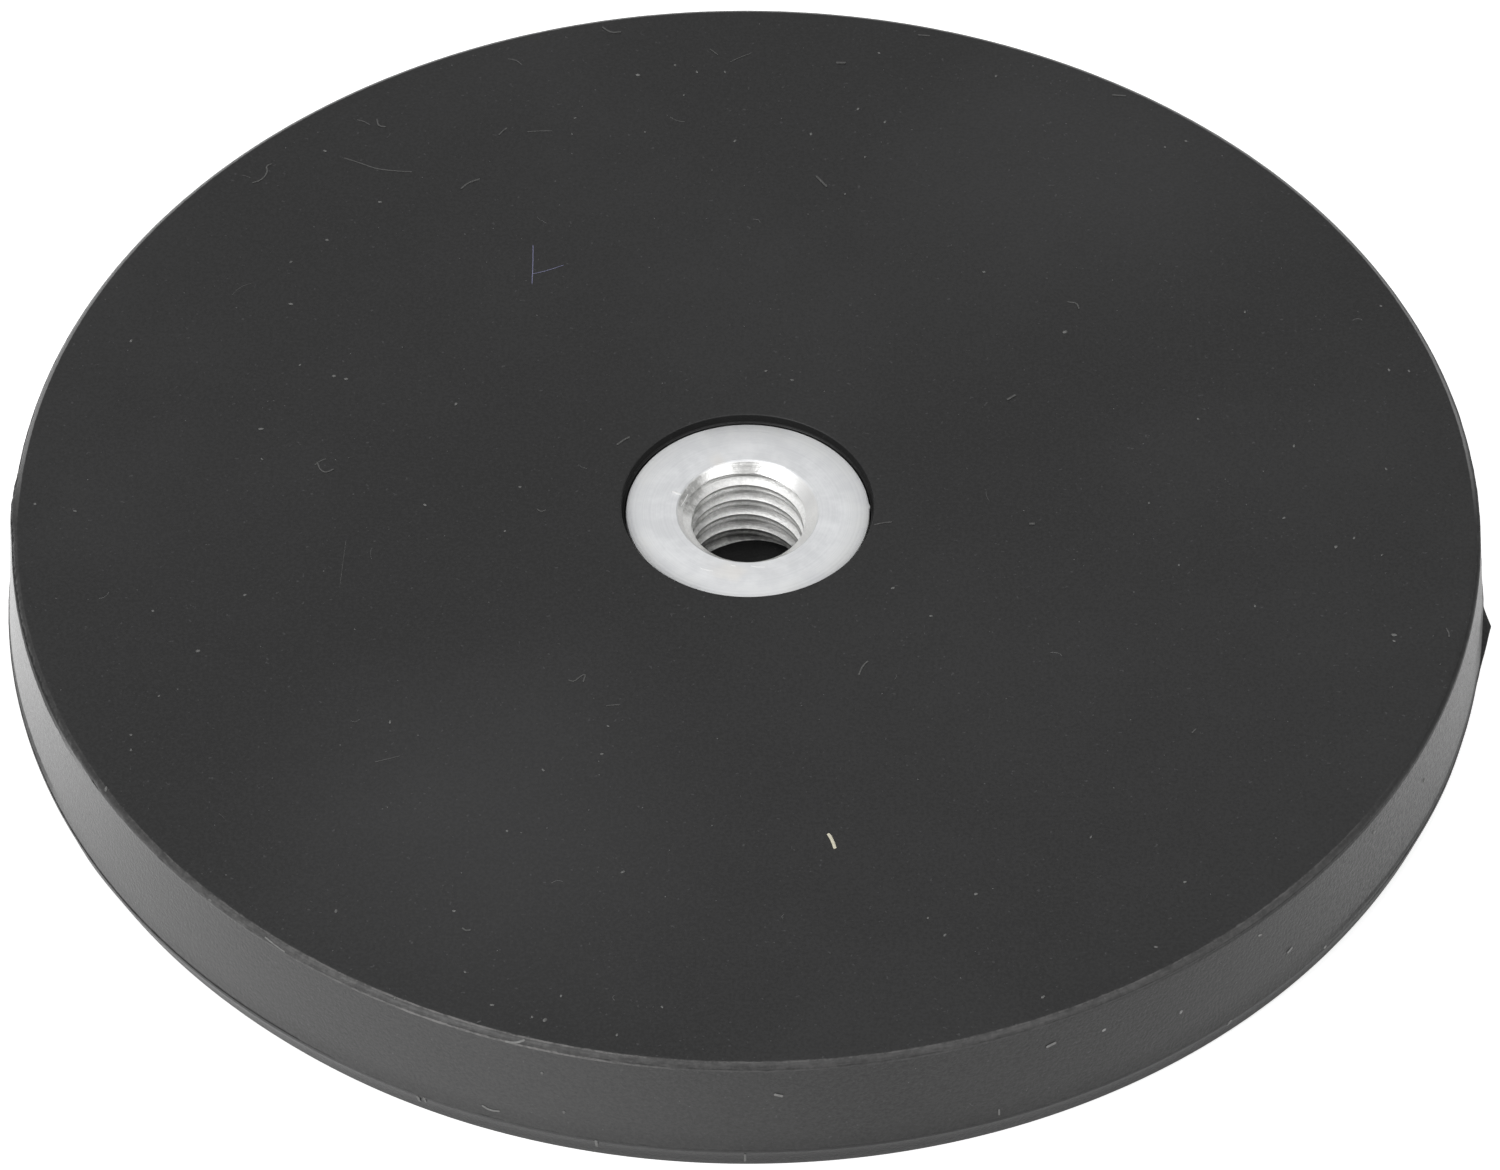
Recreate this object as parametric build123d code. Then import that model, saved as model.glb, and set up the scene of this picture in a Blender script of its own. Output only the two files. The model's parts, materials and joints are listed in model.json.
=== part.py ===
from build123d import *
import os
from math import cos, radians, sin, tan

# Rubber-jacketed pot magnet with a threaded bush.
#
# Frame: millimetres, origin at the centre of the magnet face, which lies on Z = 0.
# +Z points out of the thread's mouth, away from the surface the magnet grips.
# The moulding's torn flash is at the +X side.
#
# From the magnet face up, the layers are face rubber, magnets, steel plate and cover rubber.

# ---------------------------------------------------------------- driving sizes, mm and degrees

# Rubber jacket
jacket_diameter = 88.0      # at the parting line, where it is widest
jacket_height = 8.5
rim_chamfer = 0.3
wall_draft = 5.0            # the wall widens from the rim down to the parting line
parting_height = 1.9        # where the two halves of the mould meet
mould_step = 0.05           # the lower half of the mould is this much larger in radius
heel_draft = 15.0           # the strip below the parting line narrows down to the magnet face
heel_chamfer = 0.15
side_rubber = 2.6           # from the plate's edge to the jacket's rim
face_rubber = 0.8           # under the magnets

# Recess over the bush, left by the mould's core
face_recess = 0.6           # depth of the bush's face below the jacket's
recess_margin = 0.29        # the core is this much larger in radius than the bush
recess_draft = 3.0
recess_lip = 0.12           # chamfer on the recess's edge
core_shift = 0.06           # the core sat this far off the bush, towards -X

# Torn flash on the parting line
flash_reach = 0.5           # out from the wall, at its tip
flash_thickness = 0.3
flash_root = 0.6            # how far the flash's solid runs into the wall
flash_start = -2.4          # angles about Z
flash_tip = -4.5
flash_end = -9.0
flash_hollow = 0.02         # sag of its long torn edge below a straight line

# Steel plate that closes the magnets' flux
plate_thickness = 2.5

# Threaded bush
bush_diameter = 14.4
bush_floor = 1.75           # rubber left under the bush, which makes the hole blind
bush_edge = 0.15
flange_ledge = 1.0          # the flange's radius beyond the bush, under the plate
flange_edge = 0.4
flange_flat = 0.8           # depth of the two flats that key the flange in the rubber
thread_size = 8.0
thread_pitch = 1.25
mouth_relief = 0.5          # the countersink's mouth is this much wider than the thread
countersink_angle = 90.0

# Magnets, in two rings with their poles alternating
magnet_diameter = 12.0
magnet_thickness = 3.0
outer_count = 12
inner_count = 6
plate_margin = 1.0          # from the outer magnets to the plate's edge
outer_turn = 15.0           # angle of each ring's first magnet
inner_turn = 0.0

# ---------------------------------------------------------------- sizes that follow

magnet_radius = magnet_diameter / 2
bush_radius = bush_diameter / 2
flange_radius = bush_radius + flange_ledge

plate_bottom = face_rubber + magnet_thickness
plate_top = plate_bottom + plate_thickness
bush_top = jacket_height - face_recess

bore_radius = (thread_size - 1.0825 * thread_pitch) / 2
mouth_radius = (thread_size + mouth_relief) / 2
countersink_depth = (mouth_radius - bore_radius) / tan(radians(countersink_angle / 2))

step_radius = jacket_diameter / 2
wall_radius = step_radius - mould_step
wall_height = jacket_height - rim_chamfer - parting_height
rim_radius = wall_radius - wall_height * tan(radians(wall_draft))
foot_radius = step_radius - parting_height * tan(radians(heel_draft))
plate_radius = rim_radius - side_rubber

outer_ring_radius = plate_radius - plate_margin - magnet_radius
outer_ring_inside = outer_ring_radius - magnet_radius
inner_ring_radius = (flange_radius + outer_ring_inside) / 2


# ---------------------------------------------------------------- pieces

def turned(*outline):
    """A solid of revolution about Z from its closed half outline of (radius, height) points."""
    with BuildPart() as solid:
        with BuildSketch(Plane.XZ):
            with BuildLine():
                Polyline(*outline, close=True)
            make_face()
        revolve(axis=Axis.Z)
    return solid.part


def polar(radius, angle, height):
    """A point at a radius and an angle about Z."""
    return (radius * cos(radians(angle)), radius * sin(radians(angle)), height)


def disc(radius, height, place):
    """A flat disc standing on a point."""
    return Location(place) * extrude(Circle(radius), amount=height)


def make_magnet(ring_radius, angle):
    """One sintered disc, standing on the face rubber under the plate."""
    return disc(magnet_radius, magnet_thickness, polar(ring_radius, angle, face_rubber))


def make_plate():
    """The blanked steel disc, with a hole that the bush fills."""
    place = (0, 0, plate_bottom)
    return disc(plate_radius, plate_thickness, place) - disc(bush_radius, plate_thickness, place)


def make_bush_blank():
    """The bush before it is drilled: a plug through the plate with a flange that pulls up on it."""
    blank = turned(
        (0, bush_floor),
        (flange_radius - flange_edge, bush_floor),
        (flange_radius, bush_floor + flange_edge),
        (flange_radius, plate_bottom),
        (bush_radius, plate_bottom),
        (bush_radius, bush_top - bush_edge),
        (bush_radius - bush_edge, bush_top),
        (0, bush_top),
    )
    flange_height = plate_bottom - bush_floor
    flat_offset = flange_radius - flange_flat / 2
    with BuildPart() as bush:
        add(blank)
        with Locations((0, flat_offset, bush_floor), (0, -flat_offset, bush_floor)):
            Box(
                2 * flange_radius,
                flange_flat,
                flange_height,
                align=(Align.CENTER, Align.CENTER, Align.MIN),
                mode=Mode.SUBTRACT,
            )
    return bush.part


def make_bush(blank):
    """The bush with its thread's core hole and countersink."""
    drill = turned(
        (0, bush_floor),
        (bore_radius, bush_floor),
        (bore_radius, bush_top - countersink_depth),
        (mouth_radius, bush_top),
        (0, bush_top),
    )
    return blank - drill


def make_flash():
    """Rubber that squeezed out between the mould's halves and tore, thin and pointed."""
    root_radius = step_radius - flash_root
    middle = (flash_tip + flash_end) / 2
    top = parting_height
    tip = polar(wall_radius + flash_reach, flash_tip, top)
    hollow = polar(wall_radius + flash_reach / 2 - flash_hollow, middle, top)
    start = polar(step_radius, flash_start, top)
    end = polar(step_radius, flash_end, top)
    with BuildPart() as flash:
        with BuildSketch(Plane.XY.offset(top)):
            with BuildLine():
                Line(start, tip)
                ThreePointArc(tip, hollow, end)
                Line(end, polar(root_radius, flash_end, top))
                ThreePointArc(
                    polar(root_radius, flash_end, top),
                    polar(root_radius, middle, top),
                    polar(root_radius, flash_start, top),
                )
                Line(polar(root_radius, flash_start, top), start)
            make_face()
        extrude(amount=-flash_thickness)
    return flash.part


def make_recess():
    """What the mould's core kept clear over the bush, wider at its mouth."""
    mouth = bush_radius + recess_margin
    base = mouth - face_recess * tan(radians(recess_draft))
    core = turned((0, bush_top), (base, bush_top), (mouth, jacket_height), (0, jacket_height))
    return Location((-core_shift, 0, 0)) * core


def make_jacket(inserts):
    """The rubber, moulded in one shot round every insert."""
    blank = turned(
        (0, 0),
        (foot_radius, 0),
        (step_radius, parting_height),
        (wall_radius, parting_height),
        (rim_radius, jacket_height - rim_chamfer),
        (rim_radius - rim_chamfer, jacket_height),
        (0, jacket_height),
    )
    with BuildPart() as jacket:
        add(blank)
        heel = jacket.faces().sort_by(Axis.Z)[0].edges()
        chamfer(heel, heel_chamfer)
        add(make_flash())
        add(make_recess(), mode=Mode.SUBTRACT)
        top_face = jacket.faces().sort_by(Axis.Z)[-1]
        lip = top_face.inner_wires()[0].edges()
        chamfer(lip, recess_lip)
        for insert in inserts:
            add(insert, mode=Mode.SUBTRACT)
    return jacket.part


def make_ring(name, count, ring_radius, first_angle):
    """A ring of magnets, named in order round it."""
    ring = {}
    for number in range(count):
        angle = first_angle + number * 360 / count
        ring[f"{name}_{number + 1:02d}"] = make_magnet(ring_radius, angle)
    return ring


# ---------------------------------------------------------------- assembly

plate = make_plate()
bush_blank = make_bush_blank()
magnets = make_ring("outer_magnet", outer_count, outer_ring_radius, outer_turn)
magnets.update(make_ring("inner_magnet", inner_count, inner_ring_radius, inner_turn))

pieces = {
    "rubber_jacket": make_jacket([plate, bush_blank, *magnets.values()]),
    "steel_plate": plate,
    "threaded_bush": make_bush(bush_blank),
}
pieces.update(magnets)

os.makedirs("parts", exist_ok=True)
for name, piece in pieces.items():
    export_step(piece, f"parts/{name}.step")
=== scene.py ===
import json
import random
from math import atan2, cos, degrees, pi, radians, sin, tan

import bmesh
import bpy
from mathutils import Matrix, Vector, noise
from mathutils.bvhtree import BVHTree


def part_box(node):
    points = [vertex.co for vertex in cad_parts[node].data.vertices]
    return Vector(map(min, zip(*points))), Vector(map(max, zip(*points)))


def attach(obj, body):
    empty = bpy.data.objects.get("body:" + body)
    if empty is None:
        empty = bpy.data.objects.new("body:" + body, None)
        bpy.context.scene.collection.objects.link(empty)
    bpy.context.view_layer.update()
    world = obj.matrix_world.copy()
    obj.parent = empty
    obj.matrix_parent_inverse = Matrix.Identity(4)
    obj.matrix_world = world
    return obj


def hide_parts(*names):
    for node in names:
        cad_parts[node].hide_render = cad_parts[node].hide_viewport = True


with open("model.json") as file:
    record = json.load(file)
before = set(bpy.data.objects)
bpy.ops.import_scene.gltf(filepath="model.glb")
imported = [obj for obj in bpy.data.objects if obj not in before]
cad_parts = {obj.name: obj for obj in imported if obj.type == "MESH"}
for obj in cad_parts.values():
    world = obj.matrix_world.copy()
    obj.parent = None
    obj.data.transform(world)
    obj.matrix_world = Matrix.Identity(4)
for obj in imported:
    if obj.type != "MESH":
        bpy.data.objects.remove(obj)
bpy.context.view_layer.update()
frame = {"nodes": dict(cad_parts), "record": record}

# A rubber-jacketed pot magnet on a pale floor: metres, magnet face on Z = 0, thread mouth up.

MM = 0.001
MICRON = 0.000001

# -------- sizes

jacket_low, jacket_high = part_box("rubber_jacket")
plate_low, plate_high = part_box("steel_plate")
bush_low, bush_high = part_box("threaded_bush")
mounts = {mount["name"]: mount for mount in frame["record"]["mounts"]}

HEIGHT = jacket_high.z
STEP_RADIUS = -jacket_low.x
MOULD_STEP = 0.05 * MM
PARTING_HEIGHT = 1.9 * MM
RIM_CHAMFER = 0.3 * MM
WALL_DRAFT = radians(5.0)
HEEL_DRAFT = radians(15.0)
HEEL_ROUND = 0.15 * MM
WALL_RADIUS = STEP_RADIUS - MOULD_STEP
WALL_TOP = HEIGHT - RIM_CHAMFER
RIM_RADIUS = WALL_RADIUS - (WALL_TOP - PARTING_HEIGHT) * tan(WALL_DRAFT)
FOOT_RADIUS = STEP_RADIUS - PARTING_HEIGHT * tan(HEEL_DRAFT)

BUSH_RADIUS = 7.2 * MM
HEAD_RADIUS = 7.235 * MM
BUSH_EDGE = 0.15 * MM
BURR = 0.07 * MM
BURR_ANGLE = 3.5
BURR_HALF_WIDTH = 2.6
BUSH_FLOOR = bush_low.z
BUSH_FACE = bush_high.z
FLANGE_RADIUS = bush_high.x
FLANGE_FLAT = bush_high.y
FLANGE_EDGE = 0.4 * MM
CORE_RADIUS = mounts["thread"]["dims"]["r_mm"] * MM
THREAD_PITCH = 1.25 * MM
THREAD_DEPTH = 0.54125 * THREAD_PITCH
MOUTH_RADIUS = 4.25 * MM
THREAD_TURN = 0.29
CREST = 0.38
CREST_SEAM = 0.09 * MM
GROOVE_FULLNESS = 1.12

RECESS_MOUTH = BUSH_RADIUS + 0.285 * MM
RECESS_DRAFT = radians(3.0)
RECESS_LIP = 0.08 * MM
CENTRED = Vector((0.0, 0.0))
HEAD_SHIFT = Vector((0.08 * MM, 0.06 * MM))
RECESS_SHIFT = Vector((0.07 * MM, 0.0))
GAP_WIDTH = 0.08 * MM

PLATE_RADIUS = plate_high.x
PLATE_BOTTOM = plate_low.z
PLATE_TOP = plate_high.z

FLASH_REACH = 0.45 * MM
FLASH_THICKNESS = 0.3 * MM
FLASH_START = radians(-2.4)
FLASH_TIP = radians(-4.5)
FLASH_END = radians(-9.0)

BULGE = 0.17 * MM
BULGE_ANGLE = 180.0
BULGE_HALF_WIDTH = 4.2
BULGE_FADE = 5.0 * MM
KNIFE_LINE = 0.015 * MM
SLACK = 0.25 * MM
FLASH_SLACK = 0.06 * MM
FOOT_SLACK = 0.12 * MM

RIM_SEGMENTS = 2160
CORE_SEGMENTS = 360
BUSH_SEGMENTS = 240
POCKET_SEGMENTS = 64
CREST_ROWS = 8
GROOVE_ROWS = 14

# -------- camera, which also places the lint

FRAME_WIDTH = 1500
FRAME_HEIGHT = 1170
SENSOR = 36.0
LENS = 196.9
CAMERA_DISTANCE = 0.4916
CAMERA_ELEVATION = radians(46.644)
CAMERA_AIM = Vector((0.00023, 0.00149, 0.0))
CAMERA_ROLL = radians(0.2)


def make_camera():
    """The camera, looking down on the part from in front."""
    data = bpy.data.cameras.new("camera")
    data.lens = LENS
    data.sensor_width = SENSOR
    data.clip_start = 0.01
    data.clip_end = 20.0
    camera = bpy.data.objects.new("camera", data)
    bpy.context.scene.collection.objects.link(camera)
    place = Vector((0, -cos(CAMERA_ELEVATION), sin(CAMERA_ELEVATION))) * CAMERA_DISTANCE
    level = (CAMERA_AIM - place).to_track_quat("-Z", "Y").to_matrix()
    turned = level @ Matrix.Rotation(CAMERA_ROLL, 3, "Z")
    camera.matrix_world = Matrix.LocRotScale(place, turned, None)
    bpy.context.scene.camera = camera
    return camera.matrix_world.copy()


CAMERA_MATRIX = make_camera()


def sight(across, down):
    """The camera's place and the direction in which it sees a point of its frame, given in pixels."""
    reach = LENS / SENSOR * FRAME_WIDTH
    ray = Vector(((across - FRAME_WIDTH / 2) / reach, (FRAME_HEIGHT / 2 - down) / reach, -1))
    return CAMERA_MATRIX.translation, (CAMERA_MATRIX.to_3x3() @ ray).normalized()


# -------- mesh helpers

def place_object(name, data):
    """An object at the origin with its data."""
    piece = bpy.data.objects.new(name, data)
    bpy.context.scene.collection.objects.link(piece)
    return piece


def finish_mesh(name, mesh, smooth_angle=35):
    """An object from a bmesh, smooth except across edges sharper than the angle."""
    data = bpy.data.meshes.new(name)
    mesh.to_mesh(data)
    mesh.free()
    data.polygons.foreach_set("use_smooth", [True] * len(data.polygons))
    data.set_sharp_from_angle(angle=radians(smooth_angle))
    return place_object(name, data)


def add_ring(mesh, radius, height, segments, centre=CENTRED):
    """A ring of vertices about a centre. The radius and height are numbers or functions of the angle."""
    ring = []
    for step in range(segments):
        angle = 2 * pi * step / segments
        r = radius(angle) if callable(radius) else radius
        z = height(angle) if callable(height) else height
        ring.append(mesh.verts.new((centre.x + r * cos(angle), centre.y + r * sin(angle), z)))
    return ring


def join_rings(mesh, rings):
    """Quads between each ring and the next."""
    for lower, upper in zip(rings, rings[1:]):
        count = len(lower)
        for i in range(count):
            j = (i + 1) % count
            mesh.faces.new((lower[i], lower[j], upper[j], upper[i]))


def join_uneven(mesh, coarse, fine):
    """A band between a ring and one that has a whole number of times as many vertices."""
    ratio = len(fine) // len(coarse)
    half = ratio // 2
    for i, near in enumerate(coarse):
        far = coarse[(i + 1) % len(coarse)]
        for k in range(ratio):
            first = fine[i * ratio + k]
            second = fine[(i * ratio + k + 1) % len(fine)]
            mesh.faces.new((near if k < half else far, first, second))
        mesh.faces.new((near, fine[i * ratio + half], far))


def cap_ring(mesh, ring, height):
    """A fan from a ring to its centre."""
    centre = mesh.verts.new((0, 0, height))
    for first, second in zip(ring, ring[1:] + ring[:1]):
        mesh.faces.new((first, second, centre))


# -------- rubber jacket

def rough(angle, height, grain, depth, salt=0.0):
    """Unevenness of a moulded edge, by place round the rim."""
    place = Vector((RIM_RADIUS * cos(angle), RIM_RADIUS * sin(angle), height))
    return depth * noise.noise(place / grain + Vector((salt, 0, 0)))


def fade(value, start, end):
    """0 up to the start, 1 from the end on, and a smooth step between."""
    share = min(max((value - start) / (end - start), 0.0), 1.0)
    return share * share * (3 - 2 * share)


def slack(angle):
    """How far the mould's lower edge falls short of a circle, at the back left and beside the flash."""
    turned = degrees(angle)
    back_left = SLACK * fade(turned, 140.0, 165.0) * (1 - fade(turned, 175.5, 178.5))
    beside_flash = FLASH_SLACK * fade(turned, 337.0, 344.0) * (1 - fade(turned, 349.0, 351.0))
    return back_left + beside_flash


def foot_slack(angle):
    """How far the foot is cut short at the front left."""
    turned = degrees(angle)
    return FOOT_SLACK * fade(turned, 208.5, 215.0) * (1 - fade(turned, 226.0, 250.0))


def hump(angle, middle, half_width):
    """A smooth rise from 0 to 1 and back, over an angle in degrees each side of its middle."""
    away = (degrees(angle) - middle + 180) % 360 - 180
    return cos(pi / 2 * away / half_width) ** 2 if abs(away) < half_width else 0.0


def rim_wear(angle):
    """Share of the rim's unevenness, which is full in front and slight at the back."""
    return 1 - 0.85 * fade(sin(angle), 0.0, 0.3)


def rim_offset(angle, height):
    """How far the trimmed rim strays: long waves, short chips, a few nicks and one bulge."""
    wave = rough(angle, height, 3.0 * MM, 0.02 * MM)
    chip = rough(angle, height, 0.6 * MM, 0.03 * MM, 9.0) + rough(angle, height, 0.25 * MM, 0.02 * MM, 5.0)
    nick = max(0.0, noise.noise(Vector((cos(angle), sin(angle), height * 200)) * 34) - 0.45)
    worn = (wave + chip - nick * 0.25 * MM) * rim_wear(angle)
    return worn + BULGE * hump(angle, BULGE_ANGLE, BULGE_HALF_WIDTH)


def flash_offset(angle):
    """How far the torn flash stands out of the step at an angle."""
    turned = atan2(sin(angle), cos(angle))
    if not FLASH_END < turned < FLASH_START:
        return 0.0
    if turned > FLASH_TIP:
        share = (FLASH_START - turned) / (FLASH_START - FLASH_TIP)
        return FLASH_REACH * share ** 1.2
    share = (turned - FLASH_END) / (FLASH_TIP - FLASH_END)
    return FLASH_REACH * (0.9 * share + 0.1 * share ** 8)


def parting_offset(angle):
    """The thin torn web of rubber along the parting line, with the flash."""
    web = rough(angle, 0, 0.7 * MM, 0.02 * MM, 21.0) + rough(angle, 0, 9.0 * MM, 0.01 * MM, 4.0)
    return max(0.0, 0.004 * MM + web) + flash_offset(angle)


def flange_outline(angle, radius):
    """The bush's flange with its two flats."""
    return min(radius, FLANGE_FLAT / max(abs(sin(angle)), 1e-6))


def flange_rings():
    """The flange from its eased lower edge up to the plate."""
    edge = (FLANGE_RADIUS - FLANGE_EDGE, BUSH_FLOOR)
    side = [(FLANGE_RADIUS, height) for height in (BUSH_FLOOR + FLANGE_EDGE, PLATE_BOTTOM)]
    return [(lambda a, r=radius: flange_outline(a, r), height) for radius, height in [edge] + side]


# The rim's section from the flat top: (outwards from the rim, down from the top, share of unevenness), mm.
RIM_SECTION = (
    (-1.60, 0.00, 0.0),
    (-0.50, 0.00, 0.0),
    (-0.38, 0.002, 0.3),
    (-0.29, 0.02, 0.9),
    (-0.21, 0.06, 1.0),
    (-0.13, 0.12, 1.0),
    (-0.06, 0.20, 1.0),
    (-0.01, 0.30, 0.9),
    (0.005, 0.36, 0.4),
)
# The knife's line under the rim: (down from the top in mm, share of its depth).
KNIFE_SECTION = ((0.40, 0.9), (0.45, 1.0), (0.51, 0.0), (0.62, 0.0))
# The wall's foot over the parting line, eased out in front: (above the line, outwards), mm.
SEAM_SECTION = ((0.16, 0.012), (0.10, 0.020), (0.05, 0.030), (0.01, 0.038))
# Shares of the way down the wall, and down the strip below the parting line, at which there is a ring.
WALL_SHARES = (0.10, 0.25, 0.4, 0.6, 0.8, 0.95)
STRIP_SHARES = (0.0, 0.35, 0.7, 1.0)


def rim_ring(out, down, share):
    """A ring of the rounded, rough rim."""
    radius = RIM_RADIUS + out * MM
    height = HEIGHT - down * MM

    def uneven_height(angle):
        dip = min(0.0, rough(angle, height, 0.5 * MM, 0.06 * MM, 3.0))
        return height + share * rim_wear(angle) * dip

    return (lambda a: radius + share * rim_offset(a, height)), uneven_height


def knife_ring(down, share):
    """A ring of the shallow line that a trimming knife left under the rim on one side."""
    radius = RIM_RADIUS + (down * MM - RIM_CHAMFER) * tan(WALL_DRAFT)
    return (lambda a: radius - share * KNIFE_LINE * fade(cos(a), 0.3, 0.6)), HEIGHT - down * MM


def wall_ring(share):
    """A ring of the drafted wall, with the rim's bulge fading down it."""
    height = WALL_TOP + share * (PARTING_HEIGHT - WALL_TOP)
    radius = RIM_RADIUS + share * (WALL_RADIUS - RIM_RADIUS)
    bulge = BULGE * max(0.0, 1 - (WALL_TOP - height) / BULGE_FADE)
    return (lambda a: radius + bulge * hump(a, BULGE_ANGLE, BULGE_HALF_WIDTH) - share * slack(a)), height


def seam_ring(up, out):
    """A ring of the wall's foot, which eases out to the parting line except at the sides."""

    def radius(angle):
        side = fade(-cos(angle), 0.48, 0.64) + fade(cos(angle), 0.78, 0.88)
        return WALL_RADIUS - slack(angle) + out * MM * (1 - side)

    return radius, PARTING_HEIGHT + up * MM


def strip_ring(share):
    """A ring of the strip below the parting line."""
    top = PARTING_HEIGHT - FLASH_THICKNESS
    height = top + share * (HEEL_ROUND * 2 - top)
    radius = STEP_RADIUS - (PARTING_HEIGHT - height) * tan(HEEL_DRAFT)
    return (lambda a: radius - (1 - share) * slack(a) - share * foot_slack(a)), height


def heel_ring(turn):
    """A ring of the rounded heel."""
    radius = FOOT_RADIUS - HEEL_ROUND * (1 - cos(radians(turn)))
    return (lambda a: radius - foot_slack(a)), HEEL_ROUND * (1 - sin(radians(turn)))


def outside_rings():
    """The jacket's outside from the flat top, over the rim and down to the magnet face."""
    step = STEP_RADIUS
    rings = [rim_ring(*row) for row in RIM_SECTION] + [knife_ring(*row) for row in KNIFE_SECTION]
    rings += [wall_ring(share) for share in WALL_SHARES] + [seam_ring(*row) for row in SEAM_SECTION]
    rings += [
        (lambda a: step - slack(a) - 0.02 * MM + parting_offset(a) * 0.95, PARTING_HEIGHT),
        (lambda a: step - slack(a) + parting_offset(a), PARTING_HEIGHT - 0.05 * MM),
        (lambda a: step - slack(a) + flash_offset(a) * 0.9, PARTING_HEIGHT - FLASH_THICKNESS * 0.7),
    ]
    rings += [strip_ring(share) for share in STRIP_SHARES]
    return rings + [heel_ring(turn) for turn in (0, 30, 60, 90)]


def jacket_rings():
    """The jacket's outline from the floor of the bore, round the inserts' space, to its underside."""
    mouth = RECESS_MOUTH
    base = mouth - (HEIGHT - BUSH_FACE) * tan(RECESS_DRAFT)
    lip = RECESS_LIP
    gap = HEAD_RADIUS + GAP_WIDTH
    shift = RECESS_SHIFT
    over_plate = [
        (PLATE_RADIUS, PLATE_BOTTOM),
        (PLATE_RADIUS, PLATE_TOP),
        (HEAD_RADIUS + 0.01 * MM, PLATE_TOP, HEAD_SHIFT),
        (gap, PLATE_TOP + 0.02 * MM, HEAD_SHIFT),
        (gap, BUSH_FACE - 0.04 * MM, HEAD_SHIFT),
        (gap + 0.03 * MM, BUSH_FACE, HEAD_SHIFT),
        (base - 0.02 * MM, BUSH_FACE, shift),
        (base, BUSH_FACE + 0.03 * MM, shift),
        (mouth - 0.01 * MM, HEIGHT - lip, shift),
        (mouth + lip * 0.25, HEIGHT - lip * 0.35, shift),
        (mouth + lip * 0.6, HEIGHT - lip * 0.08, shift),
        (mouth + lip, HEIGHT, shift),
        (mouth + 0.5 * MM, HEIGHT, shift),
    ]
    over_plate += [(mouth + share * (RIM_RADIUS - mouth), HEIGHT) for share in (0.25, 0.5, 0.75)]
    under = [(FOOT_RADIUS * share, 0.0) for share in (0.97, 0.6, 0.2)]
    return flange_rings(), over_plate, outside_rings(), under


def magnet_pockets(mesh):
    """The rubber between the magnets: a flat face under the plate with a round pocket for each one."""
    edges = [
        edge
        for edge in mesh.edges
        if edge.is_boundary and all(abs(v.co.z - PLATE_BOTTOM) < 1e-7 for v in edge.verts)
    ]
    for name in sorted(frame["nodes"]):
        if "_magnet_" not in name:
            continue
        low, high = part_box(name)
        middle = ((low + high) / 2).xy
        radius = (high.x - low.x) / 2
        foot, mouth = (add_ring(mesh, radius, z, POCKET_SEGMENTS, middle) for z in (low.z, PLATE_BOTTOM))
        join_rings(mesh, [foot, mouth])
        mesh.faces.new(foot)
        edges += [mesh.edges.get(pair) for pair in zip(mouth, mouth[1:] + mouth[:1])]
    bmesh.ops.triangle_fill(mesh, edges=edges, use_beauty=True, use_dissolve=False)


def make_jacket():
    """The moulded rubber, hollow where it holds the plate, the magnets and the bush."""
    mesh = bmesh.new()
    bands = []
    for rings, segments in zip(jacket_rings(), (CORE_SEGMENTS, CORE_SEGMENTS, RIM_SEGMENTS, CORE_SEGMENTS)):
        bands.append([add_ring(mesh, r, z, segments, *centre) for r, z, *centre in rings])
        join_rings(mesh, bands[-1])
    floor, core, rim, under = bands
    join_uneven(mesh, core[-1], rim[0])
    join_uneven(mesh, under[0], rim[-1])
    cap_ring(mesh, floor[0], BUSH_FLOOR)
    cap_ring(mesh, under[-1], 0.0)
    magnet_pockets(mesh)
    bmesh.ops.recalc_face_normals(mesh, faces=mesh.faces)
    return finish_mesh("jacket", mesh)


# -------- threaded bush

def thread_depth(phase):
    """How far the rolled thread's wall lies outside its core, over one pitch from the crest's low edge."""
    phase %= 1.0
    if phase < CREST:
        return CREST_SEAM * sin(pi * phase / CREST) ** 2
    middle = (phase - CREST) / (1.0 - CREST) * 2 - 1
    return THREAD_DEPTH * min(1.0, GROOVE_FULLNESS * (1 - abs(middle)))


def bore_wall(angle, height):
    """Radius of the tapped and countersunk bore."""
    phase = height / THREAD_PITCH - angle / (2 * pi) + THREAD_TURN
    cone = MOUTH_RADIUS - (BUSH_FACE - height)
    return max(CORE_RADIUS + thread_depth(phase), cone)


def tapped_bore(mesh):
    """The bore's wall in rows that climb with the thread. Returns its lowest and highest rings."""
    rows = [CREST * k / CREST_ROWS for k in range(CREST_ROWS)]
    rows += [CREST + (1 - CREST) * k / GROOVE_ROWS for k in range(GROOVE_ROWS)]
    turns = int((BUSH_FACE - BUSH_FLOOR) / THREAD_PITCH) + 4
    first = int(BUSH_FLOOR / THREAD_PITCH) - 2
    heights = [first + turn + row - THREAD_TURN for turn in range(turns) for row in rows]
    columns = []
    for step in range(BUSH_SEGMENTS + 1):
        angle = 2 * pi * step / BUSH_SEGMENTS
        column = []
        for height in heights:
            z = (height + step / BUSH_SEGMENTS) * THREAD_PITCH
            z = min(max(z, BUSH_FLOOR), BUSH_FACE)
            across = HEAD_SHIFT + bore_wall(angle, z) * Vector((cos(angle), sin(angle)))
            column.append(mesh.verts.new((across.x, across.y, z)))
        columns.append(column)
    for left, right in zip(columns, columns[1:]):
        for i in range(len(heights) - 1):
            mesh.faces.new((left[i], left[i + 1], right[i + 1], right[i]))
    return [column[0] for column in columns[:-1]], [column[-1] for column in columns[:-1]]


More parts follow.
